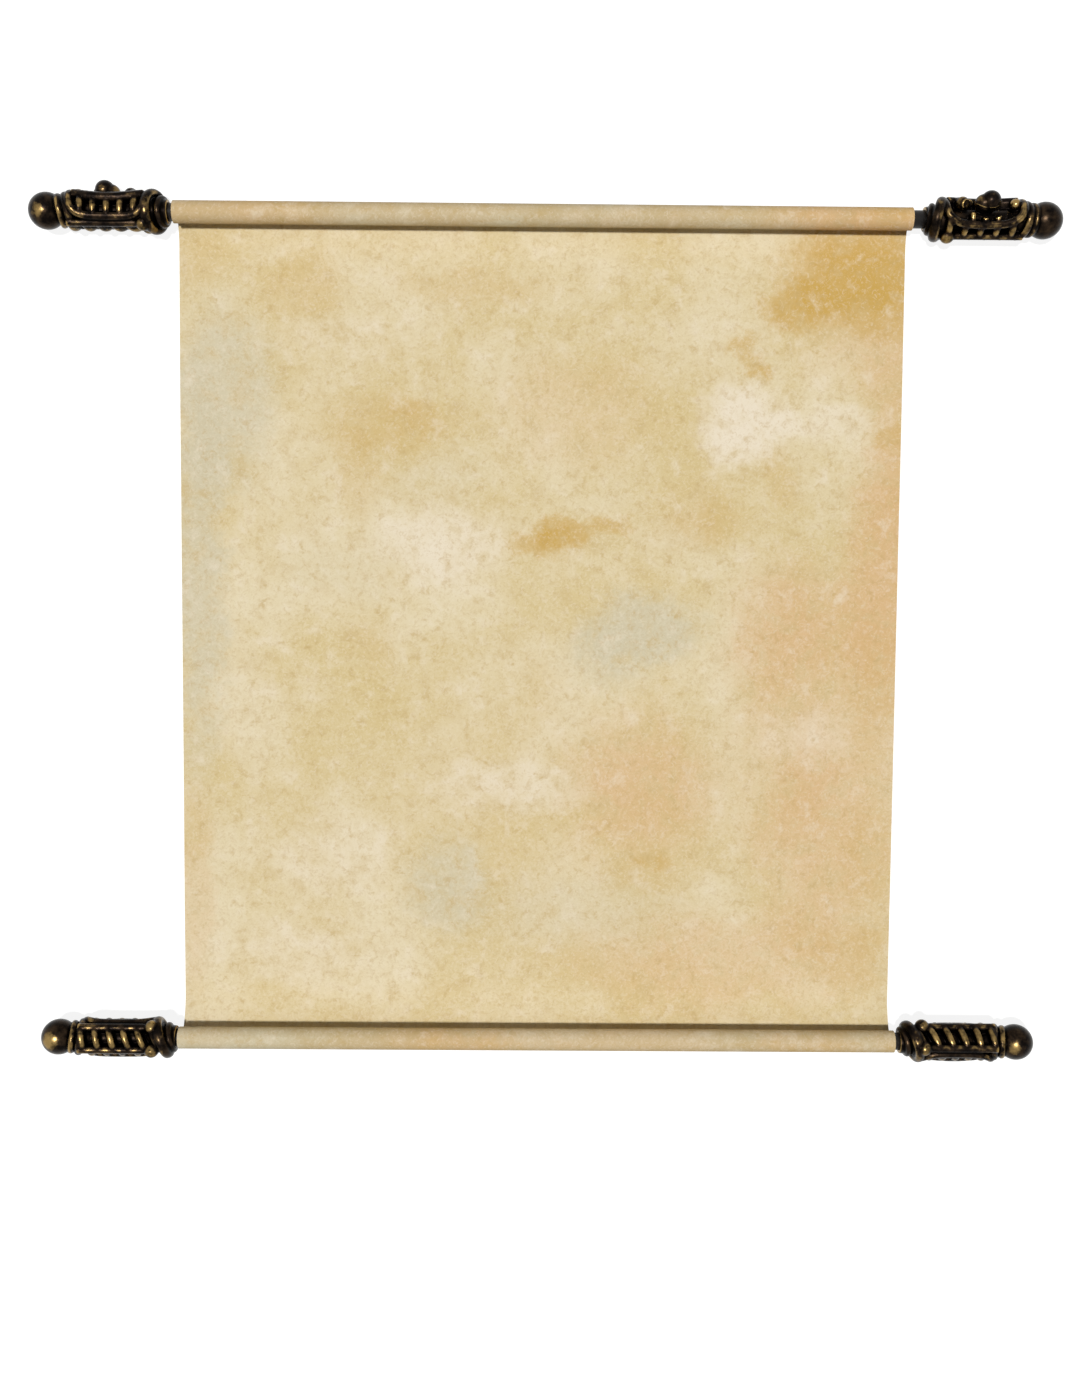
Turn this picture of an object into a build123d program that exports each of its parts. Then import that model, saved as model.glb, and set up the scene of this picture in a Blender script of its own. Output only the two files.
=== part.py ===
"""A paper scroll lying open: one A4 sheet wound on two dowels, with a cast finial on each dowel end.

Millimetres. The dowels run along X, the sheet goes from the bottom dowel (low Y) to the top dowel
(high Y), and Z is up. The middle of the sheet and the finials rest on the plane Z = 0.
"""
from build123d import *
import math
import os

# Paper, how far it is wound round each dowel, and how much of that has lifted off the roll
sheet_width = 210.0
sheet_length = 297.0
paper_thickness = 0.3
turn_gap = 0.3
wound_turn = 480
lift_turn = 50

# Dowels, the stub that each leaves bare at both sides, and how far it has slid to the right
dowel_diameter = 5.0
top_bare_stub = 2.2
bottom_bare_stub = 0.9
top_slide = 1.0
bottom_slide = 0.4
winding_clearance = 0.25

# Finial core and its socket for the dowel
socket_depth = 7.0
socket_clearance = 0.05
mouth_wall = 0.9
core_wall = 1.4
core_hollow = 0.5
hollow_taper = 3.0
neck_wall = 0.6

# Lengths along the finial: from its mouth, then from where the carving starts and ends
carving_start = 5.5
carving_length = 22.2
knob_past_middle = 1.5
ball_past_carving = 6.9

# Finial ball, knob and the lobes at the rails' ends, all but the ball lifted over the core
ball_radius = 5.25
knob_radius = 3.1
knob_lift = 1.9
lobe_radius = 2.2
lobe_lift = 0.9
lobe_past_carving_start = 1.2

# Rings round the finial: height over the core, half the width, tilt, and lean towards the ball
mouth_ring = {"height": 0.7, "half_width": 1.1, "tilt": -14, "lean": 0}
great_ring = {"height": 2.5, "half_width": 1.9, "tilt": -20, "lean": 0}
inner_end_ring = {"height": 1.4, "half_width": 1.1, "tilt": 6, "lean": 14}
outer_end_ring = {"height": 0.9, "half_width": 0.9, "tilt": 6, "lean": 12}
mouth_ring_place = 1.9
great_ring_before_carving = 1.3
inner_ring_past_carving = 0.6
outer_ring_past_carving = 2.9

# Carved limbs: height of their backs over the core, how far their feet sink in it, half widths
bar_height = 1.9
rib_height = 1.6
scroll_height = 2.3
foot_sink = 0.3
rail_half_width = 1.1
rim_half_width = 0.85
rib_half_width = 1.0
scroll_half_width = 1.15

# Places round the finial, in degrees about the rod counted from the knob
ladder_rim_turn = 80
ladder_rail_turn = 130
back_rail_turn = 216
row_edge_turn = -46
row_rim_turn = -120

# How square each rim of the boat-shaped panel is, from 2 for half an ellipse
ladder_rim_squareness = 2
row_rim_squareness = 4

# Ribs between the rims and the rails, how far the first and last stand inside the carving, and
# how much the first and last rib of the back slant
ladder_ribs = 5
ladder_inset = 1.2, 3.0
back_ribs = 6
back_inset = 0.1, 0.7
back_slants = 1.7, 0.5
row_ribs = 5
row_inset = 3.5, 3.5

# The scroll's route round the knob, as (place past the knob, turn) stops from its tail to its curl
scroll_route = [(-10.0, -30), (-7.9, 2), (-5.3, 30), (-1.5, 44), (2.3, 38), (4.5, 14), (3.7, -14)]

# How each finial is turned on its dowel: the turn, counted from the knob, that faces up
top_left_facing = -90
top_right_facing = 49
bottom_left_facing = 165
bottom_right_facing = 208

# Flats round the turned forms, and the corners of a limb's section as shares of its half sizes
turned_flats = 16
ball_bands = 9
small_flats = 8
small_bands = 5
bar_corners = [(-1, -1), (1, -1), (0.85, 0.3), (0.35, 1), (-0.35, 1), (-0.85, 0.3)]
rib_corners = [(-1, -1), (1, -1), (0.45, 1), (-0.45, 1)]

# What follows from the sizes above
dowel_radius = dowel_diameter / 2
socket_radius = dowel_radius + socket_clearance
core_radius = socket_radius + core_wall
carving_end = carving_start + carving_length
carving_middle = carving_start + carving_length / 2
knob_place = carving_middle + knob_past_middle
ball_place = carving_end + ball_past_carving
turn_pitch = paper_thickness + turn_gap
inner_turn_radius = dowel_radius + winding_clearance + turn_pitch / 4 + paper_thickness / 2
half_turns = math.ceil(wound_turn / 180)
half_turn_radii = [inner_turn_radius + turn_pitch / 2 * k for k in reversed(range(half_turns))]


def about_rod(place, radius, turn):
    """The point at this place along the rod, this radius from its axis and this turn round it."""
    angle = math.radians(turn)
    return Vector(place, -radius * math.sin(angle), radius * math.cos(angle))


def evenly(first, last, count):
    return [first + (last - first) * k / (count - 1) for k in range(count)]


def is_flat(corners):
    normal = (corners[1] - corners[0]).cross(corners[2] - corners[0]).normalized()
    return all(abs(normal.dot(corner - corners[0])) < 1e-6 for corner in corners[3:])


def faceted(sections):
    """A closed body with flat facets through polygon sections that all have as many corners."""
    polygons = [sections[0][::-1], sections[-1]]
    for near, far in zip(sections, sections[1:]):
        for i in range(len(near)):
            quad = [near[i - 1], near[i], far[i], far[i - 1]]
            polygons += [quad] if is_flat(quad) else [quad[:3], [quad[0], quad[2], quad[3]]]
    return Solid(Shell([Face(Wire.make_polygon(polygon)) for polygon in polygons]))


def turned(stations, flats):
    """A turned form round the rod through (place, radius) stations."""
    step = 360 / flats
    return faceted([[about_rod(x, r, step * k) for k in range(flats)] for x, r in stations])


def bead(radius, bands, flats):
    """A ball with flats, its middle at the origin."""
    angles = [math.radians(180 * (k + 0.5) / bands) for k in range(bands)]
    return turned([(-radius * math.cos(a), radius * math.sin(a)) for a in angles], flats)


def ring(place, height, half_width, tilt, lean):
    """A raised ring round the core.

    It is tilted about the line through the knob and the rod, and leans with its knob side
    towards the ball.
    """
    foot = core_radius - core_wall / 2
    back = core_radius + height
    stations = [(-1, foot), (-0.4, back), (0.4, back), (1, foot)]
    body = turned([(share * half_width, radius) for share, radius in stations], turned_flats)
    return Pos(place, 0, 0) * Rot(Y=lean) * Rot(Z=tilt) * body


def limb(route, half_width, height, corners):
    """A carved limb through (place, turn) stops, its back at this height over the core."""
    half_depth = (height + core_hollow + foot_sink) / 2
    stops = [about_rod(place, core_radius + height - half_depth, turn) for place, turn in route]
    sections = []
    for i, stop in enumerate(stops):
        along = (stops[min(i + 1, len(stops) - 1)] - stops[max(i - 1, 0)]).normalized()
        across = Vector(0, stop.Y, stop.Z).cross(along).normalized() * half_width
        outward = along.cross(across).normalized() * half_depth
        sections.append([stop + across * u + outward * v for u, v in corners])
    return faceted(sections)


def rib(places, turns):
    """A rib of the carving, through as many places along the rod as turns round it."""
    return limb(list(zip(places, turns)), rib_half_width, rib_height, rib_corners)


def rim_turn(place, widest, squareness):
    """Where a rim of the boat-shaped panel lies at this place, if it lies at widest amidships."""
    share = abs(place - carving_middle) / (carving_length / 2)
    return widest * (1 - share**squareness) ** (1 / squareness)


def rim_stop(angle, widest, squareness):
    """A stop on a rim, at this angle of the ellipse that it is squared from."""
    along, across = -math.cos(angle), math.sin(angle)
    place = carving_length / 2 * math.copysign(abs(along) ** (2 / squareness), along)
    return carving_middle + place, widest * across ** (2 / squareness)


def rims():
    """The two rims of the boat-shaped panel, which meet at its ends on the knob's side."""
    angles = [math.radians(a) for a in evenly(0, 180, 9)]
    return [
        limb([rim_stop(max(0, a), widest, squareness) for a in angles],
             rim_half_width, bar_height, bar_corners)
        for widest, squareness in ((ladder_rim_turn, ladder_rim_squareness),
                                   (row_rim_turn, row_rim_squareness))
    ]


def rails():
    """The two straight rails, and the straight edge behind the knob that the rib row stands on."""
    straight = [(ladder_rail_turn, rail_half_width), (back_rail_turn, rail_half_width),
                (row_edge_turn, rim_half_width)]
    return [
        limb([(carving_start, turn), (carving_end, turn)], half_width, bar_height, bar_corners)
        for turn, half_width in straight
    ]


def ladder():
    """Upright ribs from the boat's near rim to the first rail."""
    return [
        rib([x] * 4, evenly(rim_turn(x, ladder_rim_turn, ladder_rim_squareness), ladder_rail_turn, 4))
        for x in evenly(carving_start + ladder_inset[0], carving_end - ladder_inset[1], ladder_ribs)
    ]


def back_row():
    """Ribs across the back, from rail to rail, that slant less towards the ball."""
    places = evenly(carving_start + back_inset[0], carving_end - back_inset[1], back_ribs)
    return [
        rib(evenly(x - slant, x + slant, 4), evenly(ladder_rail_turn, back_rail_turn, 4))
        for x, slant in zip(places, evenly(*back_slants, back_ribs))
    ]


def side_row():
    """Upright ribs inside the boat, from the straight edge to the far rim."""
    return [
        rib([x] * 3, evenly(row_edge_turn, rim_turn(x, row_rim_turn, row_rim_squareness), 3))
        for x in evenly(carving_start + row_inset[0], carving_end - row_inset[1], row_ribs)
    ]


def carved_finial():
    """One cast finial, its mouth at the origin, its ball towards +X and its knob up."""
    core = turned(
        [
            (0, socket_radius + mouth_wall),
            (carving_start, core_radius),
            (carving_start + hollow_taper, core_radius - core_hollow),
            (carving_end - hollow_taper, core_radius - core_hollow),
            (carving_end, core_radius),
            (ball_place, socket_radius + neck_wall),
        ],
        turned_flats,
    )
    great_ring_place = carving_start - great_ring_before_carving
    rings = [
        ring(mouth_ring_place, **mouth_ring),
        ring(great_ring_place, **great_ring),
        ring(carving_end + inner_ring_past_carving, **inner_end_ring),
        ring(carving_end + outer_ring_past_carving, **outer_end_ring),
    ]
    ball = Pos(ball_place, 0, 0) * bead(ball_radius, ball_bands, turned_flats)
    knob_middle = about_rod(knob_place, core_radius + knob_lift, 0)
    knob = Pos(knob_middle) * bead(knob_radius, small_bands, small_flats)
    lobe_place = carving_start + lobe_past_carving_start
    lobes = [
        Pos(about_rod(lobe_place, core_radius + lobe_lift, turn))
        * bead(lobe_radius, small_bands, small_flats)
        for turn in (ladder_rail_turn, back_rail_turn)
    ]
    scroll_stops = [(knob_place + past, turn) for past, turn in scroll_route]
    scroll = limb(scroll_stops, scroll_half_width, scroll_height, bar_corners)
    carving = [*rims(), *rails(), *ladder(), *back_row(), *side_row(), scroll]
    socket = Cylinder(socket_radius, socket_depth, rotation=(0, 90, 0),
                      align=(Align.CENTER, Align.CENTER, Align.MIN))
    return core.fuse(ball, knob, *lobes, *rings, *carving) - socket


def lift_bend(rod_height):
    """The radius in which the sheet lifts off the table, so that it meets the outermost turn."""
    share = math.cos(math.radians(lift_turn))
    outer_turn_middle = rod_height - turn_pitch / 4
    return (outer_turn_middle - paper_thickness / 2 - half_turn_radii[0] * share) / (1 - share)


def lift_run(rod_height):
    """How far the rod lies from where the sheet lifts off the table."""
    return (lift_bend(rod_height) - half_turn_radii[0]) * math.sin(math.radians(lift_turn))


def paper_line(side, half_flat, rod_height):
    """Half of the sheet's middle line, its length along X and its height along Y.

    From the middle of the sheet it runs flat, lifts off the table in one wide bend that passes
    under the roll, and winds up, over and round the dowel in half turns that each lie closer in.
    """
    line = [Line((0, paper_thickness / 2), (side * half_flat, paper_thickness / 2))]
    inmost = wound_turn - 180 * (half_turns - 1)
    turns = [180 - lift_turn] + [180] * (half_turns - 2) + [inmost]
    for radius, turn in [(lift_bend(rod_height), lift_turn), *zip(half_turn_radii, turns)]:
        line.append(JernArc(line[-1] @ 1, line[-1] % 1, radius, side * turn))
    return line


def half_flat_length(rod_heights):
    """Half the length of the flat middle: what the bends and the rolls leave of the sheet."""
    spent = sum(edge.length for row, height in rod_heights.items()
                for edge in paper_line(sides[row], 1, height)[1:])
    return (sheet_length - spent) / 2


def paper(half_flat, rod_heights):
    """The whole sheet in one piece, flat in the middle and wound at both ends."""
    section = Plane.XZ * Pos(0, paper_thickness / 2) * Rectangle(sheet_width, paper_thickness)
    top, bottom = (
        sweep(section, path=Plane.YZ * Wire(paper_line(side, half_flat, rod_heights[row])))
        for row, side in sides.items()
    )
    return top + bottom


def dowel(bare_stub):
    """One wooden dowel along X, long enough to bottom in both finial sockets."""
    length = sheet_width + 2 * (bare_stub + socket_depth)
    return Cylinder(dowel_radius, length, rotation=(0, 90, 0))


def lowest(shape):
    return shape.bounding_box().min.Z


# The rod ends, each pair with its left and right finial turned as it lies
sides = {"top": 1, "bottom": -1}
finial = carved_finial()
pairs = {
    "top": (Rot(Z=180) * Rot(X=-top_left_facing) * finial, Rot(X=-top_right_facing) * finial),
    "bottom": (Rot(Z=180) * Rot(X=-bottom_left_facing) * finial, Rot(X=-bottom_right_facing) * finial),
}

# Each rod lies as high as the finial that reaches lowest holds it off the table
rod_heights = {row: -min(lowest(left), lowest(right)) for row, (left, right) in pairs.items()}
half_flat = half_flat_length(rod_heights)
bare_stubs = {"top": top_bare_stub, "bottom": bottom_bare_stub}
slides = {"top": top_slide, "bottom": bottom_slide}

pieces = {"paper_sheet": paper(half_flat, rod_heights)}
for row, (left, right) in pairs.items():
    mouth = sheet_width / 2 + bare_stubs[row]
    across = sides[row] * (half_flat + lift_run(rod_heights[row]))
    axis = Pos(slides[row], across, rod_heights[row])
    pieces[f"{row}_dowel"] = axis * dowel(bare_stubs[row])
    pieces[f"finial_{row}_left"] = axis * Pos(-mouth, 0, 0) * left
    pieces[f"finial_{row}_right"] = axis * Pos(mouth, 0, 0) * right

# The origin is the middle of the whole object's footprint, on the table
footprint = Compound([Part() + piece for piece in pieces.values()]).bounding_box()
to_origin = Pos(-footprint.center().X, -footprint.center().Y, -footprint.min.Z)

os.makedirs("parts", exist_ok=True)
for name, piece in pieces.items():
    export_step(to_origin * piece, f"parts/{name}.step")
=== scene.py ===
import math

import bpy
from mathutils import Matrix, Vector, noise


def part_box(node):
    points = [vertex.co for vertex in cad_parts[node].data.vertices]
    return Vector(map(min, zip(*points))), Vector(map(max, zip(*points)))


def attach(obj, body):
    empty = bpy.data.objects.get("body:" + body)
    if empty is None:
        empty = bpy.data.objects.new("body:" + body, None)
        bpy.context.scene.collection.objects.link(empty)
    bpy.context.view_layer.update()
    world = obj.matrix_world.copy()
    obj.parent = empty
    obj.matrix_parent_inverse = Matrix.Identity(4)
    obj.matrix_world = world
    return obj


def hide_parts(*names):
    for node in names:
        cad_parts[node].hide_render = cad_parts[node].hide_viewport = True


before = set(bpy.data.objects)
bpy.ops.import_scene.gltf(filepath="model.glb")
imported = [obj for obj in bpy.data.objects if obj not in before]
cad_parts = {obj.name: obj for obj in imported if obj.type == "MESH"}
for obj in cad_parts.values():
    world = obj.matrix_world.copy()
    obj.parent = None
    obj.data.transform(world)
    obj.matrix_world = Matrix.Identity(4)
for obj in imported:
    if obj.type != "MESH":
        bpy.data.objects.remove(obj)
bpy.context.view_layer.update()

# Dowels
# Each end of the sheet is wound on a thin round dowel of turned wood, sprayed satin black before
# the finials are pushed on. Only a short stub shows at each side, between the roll and the finial.
mm = 0.001
dowel_sides = 48
dowel_chamfer = 0.4 * mm
dowel_black = "#0E0B09"
dowel_scuff = "#241D18"
brush_mark_spacing = 0.8 * mm


def linear(hex_colour):
    """A shader colour from an sRGB hex value."""
    shares = [int(hex_colour[i:i + 2], 16) / 255 for i in (1, 3, 5)]
    return [s / 12.92 if s <= 0.04045 else ((s + 0.055) / 1.055) ** 2.4 for s in shares] + [1]


def add_node(tree, kind, sockets=None, **settings):
    """Adds a shader node. A socket takes a value or the output that is linked to it."""
    node = tree.nodes.new("ShaderNode" + kind)
    for name, value in settings.items():
        setattr(node, name, value)
    for socket, value in (sockets or {}).items():
        if isinstance(value, bpy.types.NodeSocket):
            tree.links.new(value, node.inputs[socket])
        else:
            node.inputs[socket].default_value = value
    return node


def new_material(name):
    """An empty material, its node tree and its shader."""
    material = bpy.data.materials.new(name)
    material.use_nodes = True
    tree = material.node_tree
    return material, tree, tree.nodes["Principled BSDF"]


def finish_piece(piece, material):
    """Gives a modelled piece its material, and its place on the one body."""
    piece.data.materials.clear()
    piece.data.materials.append(material)
    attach(piece, "root")


# Satin lacquer on wood: near black, with faint turning marks and a soft sheen.
black_lacquer, tree, shader = new_material("satin_black_lacquer")
where = add_node(tree, "TexCoord").outputs["Object"]
marks = add_node(tree, "TexNoise", {"Vector": where, "Scale": 1 / brush_mark_spacing, "Detail": 3.0})
scuffs = add_node(tree, "MapRange", {"Value": marks.outputs["Fac"], "From Min": 0.55, "From Max": 0.8})
lacquer = add_node(tree, "Mix", {0: scuffs.outputs["Result"], 6: linear(dowel_black),
                                 7: linear(dowel_scuff)}, data_type="RGBA")
tree.links.new(lacquer.outputs[2], shader.inputs["Base Color"])
grain = add_node(tree, "Bump", {"Height": marks.outputs["Fac"], "Strength": 0.2,
                                "Distance": 0.05 * mm})
tree.links.new(grain.outputs["Normal"], shader.inputs["Normal"])
shader.inputs["Roughness"].default_value = 0.42
shader.inputs["Specular IOR Level"].default_value = 0.25

for row in ("top", "bottom"):
    low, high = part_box(f"{row}_dowel")
    bpy.ops.object.select_all(action="DESELECT")
    bpy.ops.mesh.primitive_cylinder_add(vertices=dowel_sides, radius=(high.z - low.z) / 2,
                                        depth=high.x - low.x, location=(low + high) / 2,
                                        rotation=(0, math.radians(90), 0))
    dowel = bpy.context.object
    dowel.name = f"black_dowel_{row}"
    bpy.ops.object.transform_apply()
    bpy.ops.object.mode_set(mode="EDIT")
    bpy.ops.mesh.select_mode(type="FACE")
    bpy.ops.mesh.select_all(action="DESELECT")
    bpy.ops.object.mode_set(mode="OBJECT")
    for face in dowel.data.polygons:
        face.select = len(face.vertices) > 4
    bpy.ops.object.mode_set(mode="EDIT")
    bpy.ops.mesh.bevel(offset=dowel_chamfer, segments=2)
    bpy.ops.object.mode_set(mode="OBJECT")
    bpy.ops.object.shade_smooth_by_angle(angle=math.radians(40))
    finish_piece(dowel, black_lacquer)
    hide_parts(f"{row}_dowel")

# Sheet
# One A4 sheet of heavy parchment card, printed with a mottled tan on both faces. Its two ends
# are glued to the dowels and wound on, and the rest lies flat on the table between the rolls.
sheet_width = 210 * mm
sheet_length = 297 * mm
sheet_thickness = 0.3 * mm
turn_gap = 0.05 * mm
winding_clearance = 0.05 * mm
wound_turn = 545.9
lift_turn = 50
row_spacing = 0.6 * mm
column_spacing = 3.5 * mm
edge_curl = 0.5 * mm
edge_curl_width = 18 * mm
swell = 0.5 * mm
swell_length = 70 * mm

dowel_radius = (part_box("top_dowel")[1].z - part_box("top_dowel")[0].z) / 2
turn_pitch = sheet_thickness + turn_gap
half_turns = round(wound_turn / 180)
innermost_radius = dowel_radius + winding_clearance + turn_pitch / 4 + sheet_thickness / 2


def winding(row):
    """The bends of one end of the sheet, from the table inwards, and where the first one starts.

    A bend is its radius, the height of its middle, how far the middle lies outwards of the rod,
    and the turn at which it starts and ends, counted from straight down.
    """
    low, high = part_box(f"{row}_dowel")
    rod_height = (low.z + high.z) / 2
    outer_radius = innermost_radius + turn_pitch / 2 * (half_turns - 1)
    share = math.cos(math.radians(lift_turn))
    outer_middle = rod_height - turn_pitch / 4
    lift_radius = (outer_middle - sheet_thickness / 2 - outer_radius * share) / (1 - share)
    lift_run = (lift_radius - outer_radius) * math.sin(math.radians(lift_turn))
    bends = [(lift_radius, sheet_thickness / 2 + lift_radius, -lift_run, 0, lift_turn)]
    for k in range(half_turns):
        middle = rod_height + turn_pitch / 4 * (1 if k % 2 else -1)
        start = 180 * k if k else lift_turn
        end = wound_turn if k == half_turns - 1 else 180 * (k + 1)
        bends.append((outer_radius - turn_pitch / 2 * k, middle, 0, start, end))
    return bends, lift_run


def bend_length(bends):
    return sum(radius * math.radians(end - start) for radius, _, _, start, end in bends)


def rolled(distance, row):
    """How far outwards of the rod, and how high, the sheet lies this far past where it lifts."""
    bends, _ = winding(row)
    for radius, middle, outwards, start, end in bends:
        length = radius * math.radians(end - start)
        if distance <= length or (radius, end) == (bends[-1][0], bends[-1][4]):
            angle = math.radians(start) + distance / radius
            return outwards + radius * math.sin(angle), middle - radius * math.cos(angle)
        distance -= length


rod_places = {row: (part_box(f"{row}_dowel")[0].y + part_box(f"{row}_dowel")[1].y) / 2
              for row in ("top", "bottom")}
wound_lengths = {row: bend_length(winding(row)[0]) for row in ("top", "bottom")}
sheet_middle = (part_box("paper_sheet")[0].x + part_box("paper_sheet")[1].x) / 2
flat_start = rod_places["bottom"] + winding("bottom")[1]
flat_end = rod_places["top"] - winding("top")[1]


def lies_at(along):
    """Where the sheet lies, as (y, z), at this distance from its bottom end."""
    if along < wound_lengths["bottom"]:
        outwards, height = rolled(wound_lengths["bottom"] - along, "bottom")
        return rod_places["bottom"] - outwards, height
    if along > sheet_length - wound_lengths["top"]:
        outwards, height = rolled(along - (sheet_length - wound_lengths["top"]), "top")
        return rod_places["top"] + outwards, height
    return flat_start + along - wound_lengths["bottom"], sheet_thickness / 2


def off_the_table(across, place):
    """How far the loose flat part stands off the table: gentle swells, and edges that curl."""
    inside = min(place - flat_start, flat_end - place)
    if inside <= 0:
        return 0
    swells = max(0, noise.noise(Vector((across / swell_length, place / swell_length, 3))))
    to_edge = sheet_width / 2 - abs(across)
    curl = max(0, 1 - to_edge / edge_curl_width) ** 2
    waves = 0.5 + 0.5 * noise.noise(Vector((across / abs(across), place / swell_length, 7)))
    return min(1, inside / swell_length * 2) * (swell * swells + edge_curl * curl * waves)


# Stains of the print, as (across, along, half width, half length, strength) in mm from its middle
ochre_stains = [
    (92, 106, 26, 13, 0.95), (76, 93, 14, 8, 0.8), (99, 92, 14, 10, 0.6), (59, 83, 6, 5, 0.6),
    (64, 76, 4, 5, 0.7), (102, 57, 9, 5, 0.5), (69, 45, 7, 10, 0.4), (7, 29, 9, 5, 0.6),
    (3, 25, 12, 8, 0.35), (-48, 60, 20, 13, 0.42), (-54, 43, 9, 13, 0.35), (-50, -4, 10, 9, 0.35),
    (-21, 99, 26, 7, 0.4), (-99, 106, 14, 10, 0.35), (0, -18, 9, 12, 0.25), (31, -73, 16, 7, 0.35),
    (92, -98, 20, 12, 0.45), (100, -70, 10, 26, 0.4), (100, -18, 9, 22, 0.4), (22, -101, 30, 9, 0.3),
    (-70, 99, 16, 12, 0.4), (43, 34, 16, 14, 0.3), (12, 74, 26, 10, 0.22), (-30, 62, 14, 6, 0.3),
    (20, 31, 8, 4, 0.6), (-4, 25, 9, 5, 0.4), (52, 30, 14, 8, 0.25), (34, -68, 8, 4, 0.35),
]
pale_patches = [
    (58, 60, 16, 14, 0.95), (-29, 24, 24, 15, 0.75), (-9, -47, 26, 10, 0.6), (-62, -68, 26, 16, 0.5),
    (79, -33, 18, 9, 0.5), (-71, -97, 30, 14, 0.5), (-88, -21, 12, 24, 0.3), (84, 60, 16, 6, 0.6),
    (-60, 84, 22, 8, 0.4), (-22, -76, 5, 8, 0.6),
]
grey_patches = [
    (30, 1, 22, 12, 0.9), (-28, -76, 14, 20, 0.7), (-92, 68, 18, 30, 0.8), (22, -10, 18, 10, 0.5),
    (-100, 10, 9, 60, 0.8), (10, -84, 40, 16, 0.4), (-30, 45, 20, 12, 0.3), (-60, 18, 20, 12, 0.3),
]
tan_patches = [
    (104, 20, 16, 60, 0.8), (86, -62, 26, 34, 0.65), (96, 96, 30, 30, 0.5), (60, -100, 50, 18, 0.5),
    (-102, -80, 8, 40, 0.4), (8, -60, 60, 60, 0.2), (76, -14, 24, 36, 0.5), (32, -46, 26, 24, 0.5),
    (10, 64, 30, 20, 0.35), (72, 4, 20, 22, 0.3),
]
print_colours = {"straw": "#D9C48F", "cream": "#E6D7B3", "ochre": "#CCA552", "pale": "#EFE2CA",
                 "grey": "#D3C8A9", "tan": "#DAB27D", "fleck": "#C2A264", "umber": "#C5AF82"}
# Where a stain starts to show and where it is at its full strength, as shares of its half sizes
stain_edge = 1.35
stain_heart = 0.3
cloud_width = 38 * mm
ragged_width = 17 * mm
ragged_reach = 11
frayed_reach = 4
blotch_width = 7 * mm
fibre_width = 1.1 * mm
fleck_spacing = 3.2 * mm


def printed_over(tree, under, colour, amount, low, high, strength):
    """Prints a colour over another, the more strongly the nearer the amount is to high."""
    ink = add_node(tree, "MapRange", {"Value": amount, "From Min": low, "From Max": high,
                                      "To Max": strength}, interpolation_type="SMOOTHSTEP")
    return add_node(tree, "Mix", {0: ink.outputs["Result"], 6: under,
                                  7: linear(print_colours[colour])}, data_type="RGBA").outputs[2]


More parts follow.
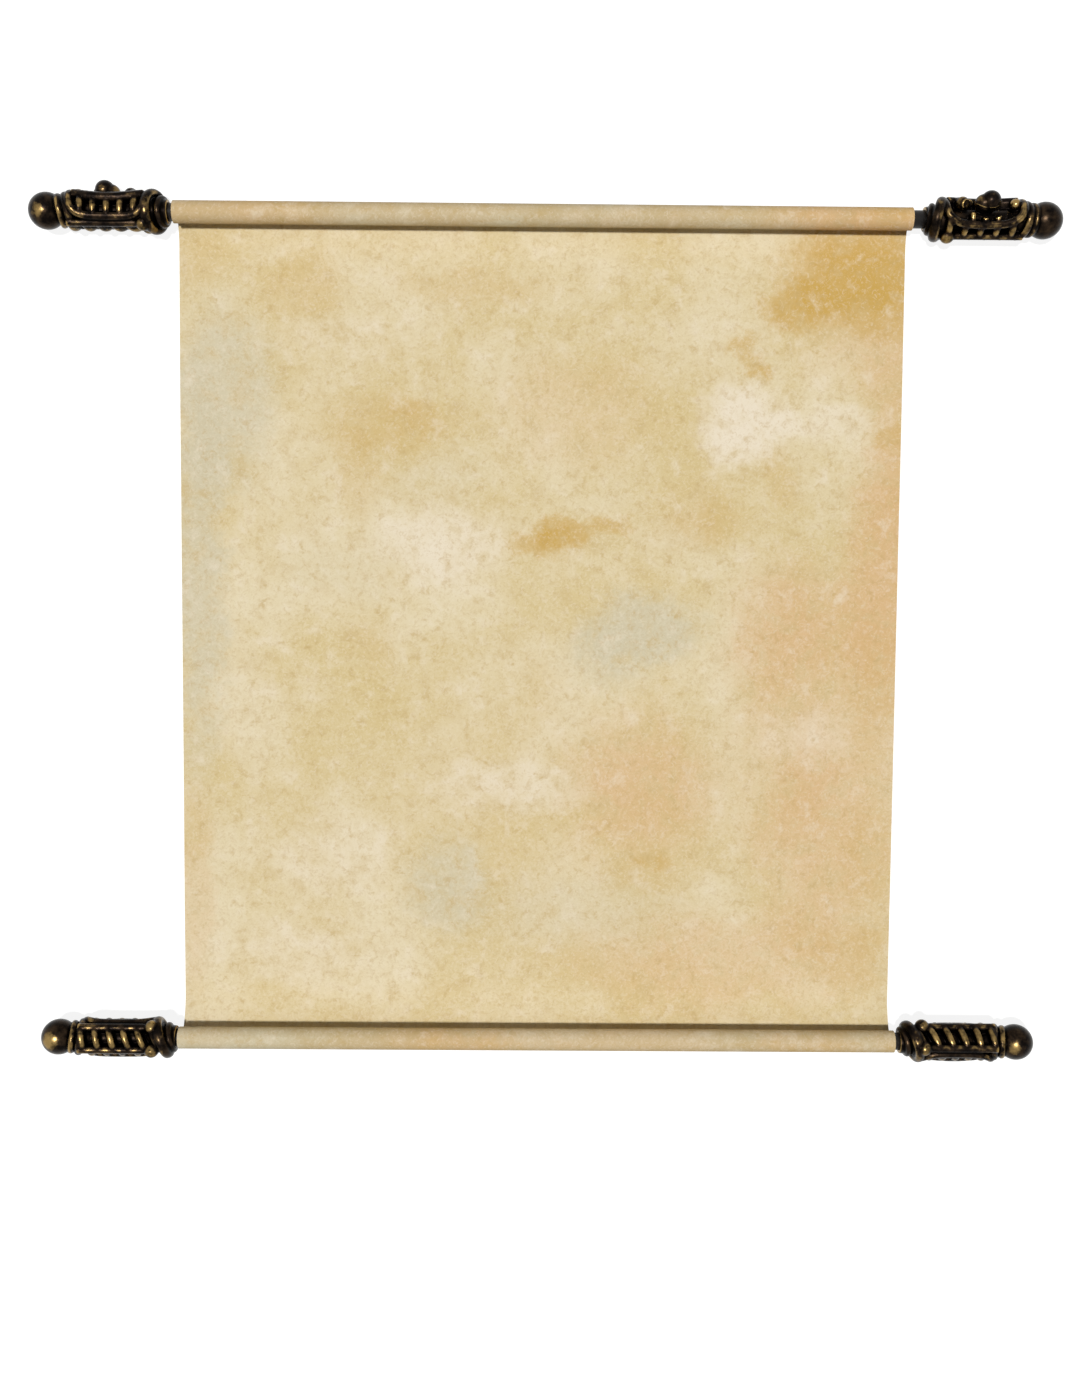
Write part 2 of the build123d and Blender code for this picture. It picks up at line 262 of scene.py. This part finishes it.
def printed_card(name, grounds, stain_groups, shift, warmth):
    """Printed card: matt, absorbent and uneven, so the eye sees soft stains, clouds and fibres."""
    material, tree, shader = new_material(name)
    unrolled = add_node(tree, "TexCoord").outputs["UV"]
    middle = (flat_start - wound_lengths["bottom"] + sheet_length / 2) / mm
    flat = add_node(tree, "Mapping", {
        "Vector": unrolled, "Scale": (sheet_width / mm, sheet_length / mm, 1),
        "Location": (-sheet_width / 2 / mm, middle - sheet_length / 2 / mm, shift)}).outputs[0]
    # Noises, each of its own width: clouds, glow, stain edges, blotches, flecks and fibres
    noises = [add_node(tree, "TexNoise", {"Vector": flat, "Scale": mm / width, "Detail": detail,
                                          "Roughness": roughness, "Distortion": distortion})
              for width, detail, roughness, distortion in (
                  (cloud_width, 6, 0.58, 0.4), (cloud_width * 1.3, 3, 0.5, 0.6),
                  (ragged_width, 8, 0.68, 0), (blotch_width, 6, 0.65, 0.3),
                  (fleck_spacing, 5, 0.7, 0.4), (fibre_width, 3, 0.6, 1.2))]
    clouds, glow, _, blotches, flecks, fibres = [layer.outputs["Fac"] for layer in noises]
    colour = printed_over(tree, linear(print_colours[grounds[0]]), grounds[1], clouds, 0.3, 0.68, 1.0)
    colour = printed_over(tree, colour, "tan", glow, 0.4, 0.65, warmth)

    # The stains' outlines are pushed about by noise, so that they look soaked in
    soaked = flat
    for layer, pushed in ((noises[2], ragged_reach), (noises[4], frayed_reach)):
        centred = add_node(tree, "VectorMath", {0: layer.outputs["Color"], 1: (0.5, 0.5, 0.5)},
                           operation="SUBTRACT").outputs[0]
        push = add_node(tree, "VectorMath", {0: centred, "Scale": 2.0 * pushed},
                        operation="SCALE").outputs[0]
        soaked = add_node(tree, "VectorMath", {0: soaked, 1: push}, operation="ADD").outputs[0]
    uneven = add_node(tree, "MapRange", {"Value": blotches, "From Min": 0.3, "From Max": 0.62,
                                         "To Min": 0.6}, interpolation_type="SMOOTHSTEP").outputs[0]
    for group, stains in stain_groups.items():
        field = 0.0
        for across, along, half_width, half_length, strength in stains:
            apart = add_node(tree, "Mapping", {
                "Vector": soaked, "Location": (-across / half_width, -along / half_length, 0),
                "Scale": (1 / half_width, 1 / half_length, 0)}).outputs[0]
            reach = add_node(tree, "VectorMath", {0: apart}, operation="LENGTH").outputs["Value"]
            stain = add_node(tree, "MapRange", {"Value": reach, "From Min": stain_edge,
                                                "From Max": stain_heart, "To Max": strength},
                             interpolation_type="SMOOTHSTEP")
            field = add_node(tree, "Math", {0: stain.outputs["Result"], 1: field},
                             operation="ADD").outputs[0]
        field = add_node(tree, "Math", {0: field, 1: uneven}, operation="MULTIPLY").outputs[0]
        colour = printed_over(tree, colour, group, field, 0, 1, 1.0)
    colour = printed_over(tree, colour, "pale", blotches, 0.5, 0.74, 0.5)
    colour = printed_over(tree, colour, "fleck", blotches, 0.5, 0.28, 0.3)
    colour = printed_over(tree, colour, "fleck", flecks, 0.5, 0.72, 0.45)
    colour = printed_over(tree, colour, "fleck", fibres, 0.5, 0.72, 0.3)
    colour = printed_over(tree, colour, "pale", fibres, 0.5, 0.3, 0.3)
    tree.links.new(colour, shader.inputs["Base Color"])
    relief = add_node(tree, "Bump", {"Height": fibres, "Strength": 0.25, "Distance": 0.04 * mm})
    tree.links.new(relief.outputs["Normal"], shader.inputs["Normal"])
    shader.inputs["Roughness"].default_value = 0.72
    shader.inputs["Specular IOR Level"].default_value = 0.3
    return material


face_stains = {"tan": tan_patches, "pale": pale_patches, "grey": grey_patches, "ochre": ochre_stains}
back_stains = {
    "tan": [(30, 128, 40, 9, 0.35), (98, 128, 34, 9, 1.0), (-40, -128, 40, 9, 0.4),
            (20, -128, 60, 9, 0.4), (-85, 128, 24, 9, 0.5), (85, -128, 24, 9, 0.5)],
    "grey": [(-40, 131, 30, 6, 0.4), (-70, -131, 40, 6, 0.4), (60, -131, 50, 6, 0.3)],
    "ochre": [(62, 127, 22, 6, 0.35), (0, -127, 34, 5, 0.4), (88, -127, 24, 5, 0.4),
              (-75, 127, 16, 5, 0.3), (100, 124, 14, 8, 0.5), (-40, -126, 16, 4, 0.3)],
}

bpy.ops.object.select_all(action="DESELECT")
bpy.ops.mesh.primitive_grid_add(x_subdivisions=round(sheet_width / column_spacing) + 1,
                                y_subdivisions=round(sheet_length / row_spacing), size=1)
sheet = bpy.context.object
sheet.name = "parchment_sheet"
for vertex in sheet.data.vertices:
    across = vertex.co.x * sheet_width
    place, height = lies_at((vertex.co.y + 0.5) * sheet_length)
    height += off_the_table(across or column_spacing, place)
    vertex.co = (sheet_middle + across, place, height)
sheet.data.materials.append(
    printed_card("printed_parchment_face", ("straw", "cream"), face_stains, 0, 0))
sheet.data.materials.append(
    printed_card("printed_parchment_back", ("umber", "grey"), back_stains, 40, 0.25))
card = sheet.modifiers.new("card", "SOLIDIFY")
card.thickness = sheet_thickness
card.offset = 0
card.material_offset = 1
bpy.ops.object.modifier_apply(modifier=card.name)
bpy.ops.object.shade_smooth_by_angle(angle=math.radians(40))
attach(sheet, "root")
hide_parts("paper_sheet")

# Finials
# Four brass castings of one pattern, blackened and then rubbed so that the high points shine.
# Each is pushed on its dowel end, and they lie turned as they fell.
core_sides = 64
# The disc that closes the core at its axis, in the socket's floor and inside the ball
cap_radius = 0.4
socket_depth = 7.3
socket_radius = 2.55
mouth_face = 0.08
mouth_radius = 3.4
core_radius = 3.95
core_hollow = 1.1
hollow_taper = 3.0
neck_radius = 3.15
carving_start = 5.5
carving_length = 22.2
carving_end = carving_start + carving_length
carving_middle = carving_start + carving_length / 2
knob_place = carving_middle + 1.5
ball_place = carving_end + 6.9
ball_radius = 5.17
knob_radius = 2.82
knob_lift = 1.9
knob_root_radius = 2.6
knob_root_past_knob = -1.8
knob_root_lift = 1
lobe_radius = 2.1
eye_lift = 0.5
eyes = [(-7.6, -12, 2.0), (7.4, -8, 1.6)]
lobe_lift = 0.9
lobe_place = carving_start + 1.2
# Rings as (place, height over the core, half width, tilt, lean)
cast_rings = [
    (1.8, 0.55, 0.9, -14, 0),
    (carving_start - 1.3, 2.35, 1.5, -20, 0),
    (carving_end + 0.6, 1.4, 1.1, 6, 14),
    (carving_end + 2.9, 0.9, 0.9, 6, 12),
]
rail_height = 1.9
rib_height = 1.6
scroll_height = 2.4
tooth_height = 1.3
rail_half_width = 1.2
rim_half_width = 1.2
rib_half_width = 1.1
row_edge_half_width = 1.5
row_edge_height = 2.3
tooth_half_width = 0.8
scroll_half_width = 1.5
foot_depth = 1.2
# Places round the finial, in degrees about the rod counted from the knob
ladder_rim = 80, 3
row_rim = -120, 4
ladder_rail_turn = 130
back_rail_turn = 216
row_edge_turn = -28
row_edge_sag = -24
# How many ribs and teeth there are, and how far the first and last stand inside the carving
ladder_ribs, ladder_inset = 5, (1.2, 3.0)
back_ribs, back_inset = 6, (0.1, 0.7)
row_ribs, row_inset = 5, (3.5, 3.5)
teeth, teeth_past_middle = 4, (-3.6, 7.2)
back_slants = 1.7, 0.5
scroll_route = [(-9.0, -34), (-7.3, 0), (-5.0, 28), (-1.5, 44), (2.3, 38), (4.5, 14), (3.7, -14)]
mouth_sheltered = 3.0
mouth_shelter = 0.06
end_shelter = 0.02
voxel = 0.2
wrap_radius = core_radius + 1.0


def select_only(piece):
    bpy.ops.object.select_all(action="DESELECT")
    piece.select_set(True)
    bpy.context.view_layer.objects.active = piece


def evenly(first, last, count):
    return [first + (last - first) * k / (count - 1) for k in range(count)]


def turned(stations):
    """A turned form round the rod: a disc, drawn out along X through (place, radius) stations."""
    bpy.ops.object.select_all(action="DESELECT")
    place, radius = stations[0]
    bpy.ops.mesh.primitive_circle_add(vertices=core_sides, radius=radius, fill_type="NGON",
                                      location=(place, 0, 0), rotation=(0, math.radians(90), 0))
    form = bpy.context.object
    bpy.ops.object.transform_apply()
    bpy.ops.object.mode_set(mode="EDIT")
    bpy.ops.mesh.select_all(action="SELECT")
    for next_place, next_radius in stations[1:]:
        bpy.ops.mesh.extrude_region_move(
            TRANSFORM_OT_translate={"value": (next_place - place, 0, 0)})
        swelled = next_radius / radius
        bpy.ops.transform.resize(value=(1, swelled, swelled), center_override=(next_place, 0, 0))
        place, radius = next_place, next_radius
    bpy.ops.object.mode_set(mode="OBJECT")
    return form


def bead(place, lift, turn, radius):
    """A ball that stands this far over the middle of the rod, this turn round it."""
    angle = math.radians(turn)
    bpy.ops.mesh.primitive_uv_sphere_add(
        segments=48, ring_count=32, radius=radius,
        location=(place, -lift * math.sin(angle), lift * math.cos(angle)))
    return bpy.context.object


def cast_ring(place, height, half_width, tilt, lean):
    """A rounded ring round the core, tilted on it, that leans towards the ball on the knob's side."""
    thickness = 0.8 * half_width
    bpy.ops.mesh.primitive_torus_add(
        major_segments=96, minor_segments=24, major_radius=core_radius + height - thickness,
        minor_radius=thickness)
    ring = bpy.context.object
    bpy.ops.object.mode_set(mode="EDIT")
    bpy.ops.mesh.select_all(action="SELECT")
    bpy.ops.transform.resize(value=(1, 1, half_width / thickness))
    bpy.ops.object.mode_set(mode="OBJECT")
    quarter, tilt, lean = (math.radians(angle) for angle in (90, tilt, lean))
    ring.data.transform(Matrix.Translation((place, 0, 0)) @ Matrix.Rotation(lean, 4, "Y")
                        @ Matrix.Rotation(tilt, 4, "Z") @ Matrix.Rotation(quarter, 4, "Y"))
    return ring


def limb(stops, half_width, height, ends=1.0):
    """A round bar of the relief, laid out flat through (place, turn) stops before it is wrapped."""
    bpy.ops.curve.primitive_nurbs_path_add()
    path = bpy.context.object
    path.data.splines.clear()
    line = path.data.splines.new("NURBS")
    line.points.add(len(stops) - 1)
    for point, (place, turn) in zip(line.points, stops):
        point.co = (place, math.radians(turn) * wrap_radius, height - half_width, 1)
    line.points[0].radius = line.points[-1].radius = ends
    line.order_u = min(3, len(stops))
    line.use_endpoint_u = True
    line.resolution_u = 8
    path.data.bevel_depth = half_width
    path.data.bevel_resolution = 4
    path.data.use_fill_caps = True
    bpy.ops.object.convert(target="MESH")
    return bpy.context.object


def rim_turn(place, widest, squareness):
    """Where a rim of the boat-shaped panel lies at this place, if it lies at widest amidships."""
    share = min(1, abs(place - carving_middle) / (carving_length / 2))
    return widest * (1 - share**squareness) ** (1 / squareness)


def rim_stop(angle, widest, squareness):
    """A stop on a rim, at this angle of the ellipse that it is squared from."""
    along, across = -math.cos(angle), max(0, math.sin(angle))
    place = carving_length / 2 * math.copysign(abs(along) ** (2 / squareness), along)
    return carving_middle + place, widest * across ** (2 / squareness)


def joined(parts):
    bpy.ops.object.select_all(action="DESELECT")
    for part in parts:
        part.select_set(True)
    bpy.context.view_layer.objects.active = parts[0]
    bpy.ops.object.join()
    return bpy.context.object


# The relief is laid out flat: two rims of the panel, rails, ribs, teeth and the scroll
relief_bars = [limb([rim_stop(angle, *rim) for angle in evenly(0, math.pi, 17)],
                    rim_half_width, rail_height) for rim in (ladder_rim, row_rim)]
for turn in (ladder_rail_turn, back_rail_turn):
    relief_bars.append(limb([(x, turn) for x in evenly(carving_start - 0.5, carving_end + 0.5, 9)],
                            rail_half_width, rail_height))
edge_places = evenly(carving_start + 1, carving_end - 1, 11)
row_edge = [(x, row_edge_turn + row_edge_sag * (1 - ((x - carving_middle) / carving_length * 2) ** 2))
            for x in edge_places]
relief_bars.append(limb(row_edge, row_edge_half_width, row_edge_height))
for x in evenly(carving_start + ladder_inset[0], carving_end - ladder_inset[1], ladder_ribs):
    relief_bars.append(limb([(x, t) for t in evenly(rim_turn(x, *ladder_rim), ladder_rail_turn, 5)],
                            rib_half_width, rib_height))
back_places = evenly(carving_start + back_inset[0], carving_end - back_inset[1], back_ribs)
for x, slant in zip(back_places, evenly(*back_slants, back_ribs)):
    slanted = zip(evenly(x - slant, x + slant, 6), evenly(ladder_rail_turn, back_rail_turn, 6))
    relief_bars.append(limb(list(slanted), rib_half_width, rib_height))
for x in evenly(carving_start + row_inset[0], carving_end - row_inset[1], row_ribs):
    relief_bars.append(limb([(x, t) for t in evenly(row_edge_turn, rim_turn(x, *row_rim), 5)],
                            rib_half_width, rib_height))
for x in evenly(*(carving_middle + past for past in teeth_past_middle), teeth):
    near_rim = rim_turn(x, *ladder_rim)
    relief_bars.append(limb([(x, t) for t in evenly(near_rim * 0.5, near_rim, 4)],
                            tooth_half_width, tooth_height))
relief_bars.append(limb([(knob_place + past, turn) for past, turn in scroll_route],
                        scroll_half_width, scroll_height, 0.8))
relief = joined(relief_bars)
relief.name = "relief"
bpy.ops.object.mode_set(mode="EDIT")
bpy.ops.mesh.select_mode(type="VERT")
bpy.ops.mesh.select_all(action="DESELECT")
bpy.ops.object.mode_set(mode="OBJECT")
for vertex in relief.data.vertices:
    vertex.select = vertex.normal.z < -0.1
bpy.ops.object.mode_set(mode="EDIT")
bpy.ops.transform.resize(value=(1, 1, 0), center_override=(0, 0, -foot_depth))
bpy.ops.object.mode_set(mode="OBJECT")
for vertex in relief.data.vertices:
    angle, radius = vertex.co.y / wrap_radius, core_radius + vertex.co.z
    vertex.co = (vertex.co.x, -radius * math.sin(angle), radius * math.cos(angle))

core = turned([
    (socket_depth, cap_radius), (socket_depth, socket_radius), (mouth_face, socket_radius),
    (mouth_face, mouth_radius),
    (carving_start, core_radius), (carving_start + hollow_taper, core_radius - core_hollow),
    (carving_end - hollow_taper, core_radius - core_hollow), (carving_end, core_radius),
    (ball_place, neck_radius), (ball_place, cap_radius)])
pattern = joined([
    core, relief,
    bead(ball_place, 0, 0, ball_radius),
    bead(knob_place, core_radius + knob_lift, 0, knob_radius),
    bead(knob_place + knob_root_past_knob, core_radius + knob_root_lift, 0, knob_root_radius),
    *[bead(lobe_place, core_radius + lobe_lift, turn, lobe_radius)
      for turn in (ladder_rail_turn, back_rail_turn)],
    *[bead(knob_place + past, core_radius + eye_lift, turn, radius) for past, turn, radius in eyes],
    *[cast_ring(*sizes) for sizes in cast_rings],
])
pattern.name = "finial_pattern"
bpy.ops.object.transform_apply()
skin = pattern.modifiers.new("skin", "REMESH")
skin.mode = "VOXEL"
skin.voxel_size = voxel
bpy.ops.object.modifier_apply(modifier=skin.name)
softened = pattern.modifiers.new("softened", "SMOOTH")
softened.factor = 0.5
softened.iterations = 5
bpy.ops.object.modifier_apply(modifier=softened.name)
bpy.ops.object.shade_smooth()

# How far each point stands out of its surroundings, for the rubbed brass. The mouth, which a
# finger hardly reaches, and the end rings are rubbed less.
blurred = pattern.modifiers.new("blurred", "SMOOTH")
blurred.factor = 0.5
blurred.iterations = 60
evaluated = pattern.evaluated_get(bpy.context.evaluated_depsgraph_get())
smooth_places = [vertex.co.copy() for vertex in evaluated.data.vertices]
standing = [vertex.normal.dot(vertex.co - smooth_place)
            - (mouth_shelter if vertex.co.x < mouth_sheltered else 0)
            - (end_shelter if vertex.co.x > carving_end else 0)
            for vertex, smooth_place in zip(pattern.data.vertices, smooth_places)]
pattern.modifiers.remove(blurred)
# This attribute holds the wear. The loop below also adds a painted highlight to each ball, on its side
# towards the lamp
wear_and_ball_highlight = pattern.data.attributes.new("wear_and_ball_highlight", "FLOAT", "POINT")
wear_and_ball_highlight.data.foreach_set("value", standing)

# Antique brass: black in the hollows, dark bronze on the flanks, rubbed to gold on the high points
patch_width = 3 * mm
grit_width = 0.5 * mm
hollow_black = "#080605"
flank_dark = "#14100E"
flank_brown = "#372B1F"
crest_gold = "#957B4B"
flank_roughness = 0.34
crest_roughness = 0.26
antique_brass, tree, shader = new_material("antique_brass")
where = add_node(tree, "TexCoord").outputs["Object"]
# The attribute read here is how far each point stands out, for the wear. On the balls it also carries
# a painted highlight on the side towards the lamp
stands = add_node(tree, "Attribute", attribute_name="wear_and_ball_highlight").outputs["Fac"]
patches = add_node(tree, "TexNoise", {"Vector": where, "Scale": 1 / patch_width, "Detail": 4.0,
                                      "Roughness": 0.6}).outputs["Fac"]
grit = add_node(tree, "TexNoise", {"Vector": where, "Scale": 1 / grit_width, "Detail": 3.0,
                                   "Roughness": 0.6}).outputs["Fac"]
uneven = add_node(tree, "Math", {0: patches, 1: 0.14, 2: -0.07}, operation="MULTIPLY_ADD").outputs[0]
touched_and_highlit = add_node(tree, "Math", {0: stands, 1: uneven}, operation="ADD").outputs[0]
bronze = add_node(tree, "MapRange", {"Value": touched_and_highlit, "From Min": -0.05, "From Max": 0.06}).outputs[0]
rubbed_and_highlit = add_node(tree, "MapRange", {"Value": touched_and_highlit, "From Min": 0.08, "From Max": 0.13}).outputs[0]
sanded = add_node(tree, "Math", {0: grit, 1: 0.6, 2: 0.7}, operation="MULTIPLY_ADD").outputs[0]
rubbed_and_highlit = add_node(tree, "Math", {0: rubbed_and_highlit, 1: sanded}, operation="MULTIPLY",
                  use_clamp=True).outputs[0]
browned = add_node(tree, "MapRange", {"Value": patches, "From Min": 0.4, "From Max": 0.66}).outputs[0]
flank = add_node(tree, "Mix", {0: browned, 6: linear(flank_dark), 7: linear(flank_brown)},
                 data_type="RGBA").outputs[2]
dark = add_node(tree, "Mix", {0: bronze, 6: linear(hollow_black), 7: flank},
                data_type="RGBA").outputs[2]
brass = add_node(tree, "Mix", {0: rubbed_and_highlit, 6: dark, 7: linear(crest_gold)},
                 data_type="RGBA").outputs[2]
tree.links.new(brass, shader.inputs["Base Color"])
shader.inputs["Metallic"].default_value = 1.0
polish = add_node(tree, "MapRange", {"Value": rubbed_and_highlit, "To Min": flank_roughness,
                                     "To Max": crest_roughness}).outputs[0]
tree.links.new(polish, shader.inputs["Roughness"])
cast_skin = add_node(tree, "Bump", {"Height": grit, "Strength": 0.3, "Distance": 0.06 * mm})
tree.links.new(cast_skin.outputs["Normal"], shader.inputs["Normal"])

# The turn, counted from the knob, that faces up on each finial, and how far its ball is rubbed and
# given a painted highlight on the side towards the lamp
facings = {"top_left": (-90, 0.08), "top_right": (49, 0.03), "bottom_left": (165, 0.11),
           "bottom_right": (208, 0.08)}
# The side that faces up and towards the lamp, where each ball gets rubbed gold and a painted highlight
rubbed_and_lit_side = Vector((-0.35, -0.1, 0.93))
for corner, (facing, ball_rub_and_highlight) in facings.items():
    row, side = corner.split("_")
    low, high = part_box(f"finial_{corner}")
    rod_low, rod_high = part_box(f"{row}_dowel")
    mouth = low.x if side == "right" else high.x
    select_only(pattern)
    bpy.ops.object.duplicate()
    finial = bpy.context.object
    finial.name = f"cast_finial_{corner}"
    half_round = Matrix.Rotation(math.pi if side == "left" else 0, 4, "Z")
    rod_middle = (rod_low + rod_high) / 2
    finial.data.transform(Matrix.Translation((mouth, rod_middle.y, rod_middle.z)) @ half_round
                          @ Matrix.Rotation(math.radians(-facing), 4, "X") @ Matrix.Scale(mm, 4))
    ball_starts = (ball_place - ball_radius + 1) * mm
    # Each ball gets more gold on its side towards the lamp: partly rubbed brass, partly a painted
    # highlight that follows the lamp and not the casting
    worn_and_highlit = [stand + ball_rub_and_highlight * max(0, vertex.normal.dot(rubbed_and_lit_side)) ** 4
            if abs(vertex.co.x - mouth) > ball_starts else stand
            for vertex, stand in zip(finial.data.vertices, standing)]
    finial.data.attributes["wear_and_ball_highlight"].data.foreach_set("value", worn_and_highlit)
    finish_piece(finial, antique_brass)
    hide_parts(f"finial_{corner}")
bpy.data.objects.remove(pattern)

# Table
# The scroll lies on a plain white studio table, which keeps its soft shadow. The camera and
# everything shiny see the table as white.
table_size = 3.0
table_grey = "#8F8F8D"
table_glow = 0.88


def seen_directly(tree):
    """1 for the rays of the camera, of reflections and of what is seen through, and 0 for others."""
    rays = add_node(tree, "LightPath").outputs
    direct = add_node(tree, "Math", {0: rays["Is Camera Ray"], 1: rays["Is Glossy Ray"]},
                      operation="MAXIMUM").outputs[0]
    return add_node(tree, "Math", {0: direct, 1: rays["Is Transmission Ray"]},
                    operation="MAXIMUM").outputs[0]


bpy.ops.mesh.primitive_plane_add(size=table_size)
table = bpy.context.object
table.name = "studio_table"
material, tree, shader = new_material("white_table")
tree.nodes.remove(shader)
direct = seen_directly(tree)
shaded = add_node(tree, "BsdfDiffuse", {"Color": linear(table_grey)}).outputs[0]
glow = add_node(tree, "Math", {0: direct, 1: table_glow}, operation="MULTIPLY").outputs[0]
glow = add_node(tree, "Emission", {"Color": (1, 1, 1, 1), "Strength": glow}).outputs[0]
surface = add_node(tree, "AddShader", {0: shaded, 1: glow}).outputs[0]
tree.links.new(surface, tree.nodes["Material Output"].inputs["Surface"])
table.data.materials.append(material)

# Light and camera
# One plain lamp stands high over the scroll, a little to the left, so that the shade gathers right
# under the rolls, and a pale sky fills the rest. The camera looks almost straight down.
sky_level = 0.07
lamp_level = 2.85
lamp_width_angle = 5
lamp_tilt = -10
world = bpy.data.worlds.new("studio")
world.use_nodes = True
bpy.context.scene.world = world
tree = world.node_tree
background = tree.nodes["Background"]
direct = seen_directly(tree)
sky = add_node(tree, "MapRange", {"Value": direct, "To Min": sky_level, "To Max": 1.0}).outputs[0]
tree.links.new(sky, background.inputs["Strength"])
background.inputs["Color"].default_value = (1, 1, 1, 1)

lamp = bpy.data.lights.new("high_lamp", "SUN")
lamp.energy = lamp_level
lamp.angle = math.radians(lamp_width_angle)
high_lamp = bpy.data.objects.new("high_lamp", lamp)
high_lamp.rotation_euler = (0, math.radians(lamp_tilt), 0)
bpy.context.scene.collection.objects.link(high_lamp)

photo_height = 1398
sensor = 36.0
focal_pixels = 1458.5
camera_data = bpy.data.cameras.new("camera")
camera_data.sensor_width = sensor
camera_data.lens = focal_pixels / photo_height * sensor
camera = bpy.data.objects.new("camera", camera_data)
camera.location = (-0.0041, 0.0083, 0.430)
camera.rotation_euler = [math.radians(angle) for angle in (-3.844, -0.406, 0.45)]
bpy.context.scene.collection.objects.link(camera)
bpy.context.scene.camera = camera
bpy.context.scene.view_settings.view_transform = "Standard"

bpy.context.view_layer.update()
